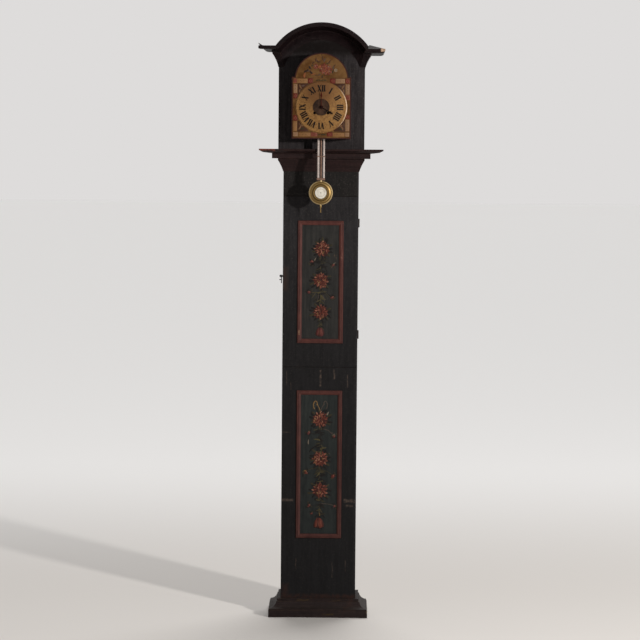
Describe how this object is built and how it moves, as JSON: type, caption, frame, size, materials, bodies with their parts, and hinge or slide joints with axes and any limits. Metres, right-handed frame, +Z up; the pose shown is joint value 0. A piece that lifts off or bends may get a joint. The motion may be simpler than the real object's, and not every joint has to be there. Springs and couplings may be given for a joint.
{
  "type": "longcase clock",
  "caption": "Tall painted pine longcase clock with an arched dial on a projecting box, a gridiron pendulum in front of the case, a hinged door and a lift-off hood.",
  "frame": {"origin": "on the floor under the middle of the clock's width and depth", "axes": "+Z up, the front looks towards -Y, +X to the right seen from the front"},
  "size_m": [0.46, 0.3576, 2.1845],
  "materials": {
    "black_paint": "old black paint on pine, worn and slightly glossy",
    "brown_paint": "old red-brown paint on pine, worn along the edges",
    "red_paint": "old red paint on pine strips, rubbed at the arrises",
    "box_paint": "dark red-brown paint",
    "raw_pine": "bare aged pine",
    "iron": "black forged iron",
    "dial_paint": "gold ground with painted folk flowers",
    "chapter_brass": "lacquered brass, aged",
    "centre_paint": "dark brown varnish",
    "hand_iron": "dark brown lacquer",
    "movement_brass": "unpolished brass",
    "movement_steel": "plain steel",
    "gong_steel": "blued steel wire",
    "rod_steel": "bright drawn steel",
    "pendulum_brass": "lacquered brass",
    "enamel": "white vitreous enamel, glossy"
  },
  "bodies": {
    "case": {"back_board": "raw_pine", "trunk_side_left": "black_paint", "trunk_side_right": "black_paint", "trunk_floor": "raw_pine", "lower_front_board": "black_paint", "lower_panel_frame": "red_paint", "top_rail": "black_paint", "plinth_moulding": "brown_paint", "ledge_board": "brown_paint", "ledge_mouldings": "brown_paint", "case_hinge_leaves": "iron", "hinge_pins": "iron", "latch_screw": "iron", "hood_dowels": "raw_pine"},
    "door": {"door_board": "black_paint", "door_panel_frame": "red_paint", "door_hinge_leaves": "iron", "latch_peg": "iron"},
    "latch": {"latch_hook": "iron"},
    "hood": {"hood_front_board": "black_paint", "hood_side_left": "black_paint", "hood_side_right": "black_paint", "hood_roof": "brown_paint", "arch_moulding": "brown_paint", "hood_cornice_left": "brown_paint", "hood_cornice_right": "brown_paint", "hood_base_rails": "raw_pine", "clock_box": "box_paint", "clock_box_floor": "box_paint", "dial_plate": "dial_paint", "dial_nails": "movement_brass", "chapter_disc": "chapter_brass", "centre_disc": "centre_paint", "movement_brackets": "iron", "front_plate": "movement_brass", "back_plate": "movement_brass", "plate_pillars": "movement_brass", "spring_barrels": "movement_brass", "going_train": "movement_brass", "strike_train": "movement_brass", "clicks": "movement_steel", "suspension_cock": "movement_brass", "gong": "gong_steel", "hand_nut": "movement_brass"},
    "minute": {"minute_hand": "hand_iron", "cannon_pinion": "movement_brass"},
    "hour": {"hour_hand": "hand_iron", "hour_wheel": "movement_brass"},
    "motion_wheel": {"minute_wheel": "movement_brass"},
    "time_winding": {"time_arbor": "movement_steel"},
    "strike_winding": {"strike_arbor": "movement_steel"},
    "striker": {"hammer": "movement_steel"},
    "pendulum": {"suspension_spring": "movement_steel", "pallet_anchor": "movement_steel", "steel_rods": "rod_steel", "brass_rod": "pendulum_brass", "gridiron_bars": "pendulum_brass", "pendulum_bob": "pendulum_brass", "enamel_disc": "enamel", "rating_nut": "pendulum_brass"}
  },
  "joints": [
    {"name": "door_hinge", "type": "hinge", "parent": "case", "child": "door", "pos_m": [0.13875, 0.01485, 1.2515], "axis": [0, 0, 1], "range_deg": [0, 24]},
    {"name": "latch_turn", "type": "hinge", "parent": "case", "child": "latch", "pos_m": [-0.14225, 0.02885, 1.259], "axis": [-1, 0, 0], "range_deg": [0, 90]},
    {"name": "hood_lift", "type": "slide", "parent": "case", "child": "hood", "axis": [0, 0, 1], "range_m": [0, 0.06]},
    {"name": "minute_turn", "type": "hinge", "parent": "hood", "child": "minute", "pos_m": [0, -0.16115, 1.8775], "axis": [0, 1, 0], "continuous": true},
    {"name": "hour_turn", "type": "hinge", "parent": "hood", "child": "hour", "pos_m": [0, -0.16115, 1.8775], "axis": [0, 1, 0], "continuous": true},
    {"name": "motion_turn", "type": "hinge", "parent": "hood", "child": "motion_wheel", "pos_m": [0, -0.15115, 1.8895], "axis": [0, 1, 0], "continuous": true},
    {"name": "time_wind", "type": "hinge", "parent": "hood", "child": "time_winding", "pos_m": [0.024, -0.15115, 1.8565], "axis": [0, 1, 0], "continuous": true},
    {"name": "strike_wind", "type": "hinge", "parent": "hood", "child": "strike_winding", "pos_m": [-0.024, -0.15115, 1.8565], "axis": [0, 1, 0], "continuous": true},
    {"name": "hammer_lift", "type": "hinge", "parent": "hood", "child": "striker", "pos_m": [-0.044, -0.10115, 1.9175], "axis": [0, 1, 0], "range_deg": [0, 14]},
    {"name": "pendulum_swing", "type": "hinge", "parent": "hood", "child": "pendulum", "pos_m": [0, -0.09815, 1.9265], "axis": [0, 1, 0], "range_deg": [-4, 4]}
  ],
  "couplings": [
    {"joint": "hour_turn", "follows": "minute_turn", "ratio": 0.083333},
    {"joint": "motion_turn", "follows": "minute_turn", "ratio": -0.33333}
  ]
}
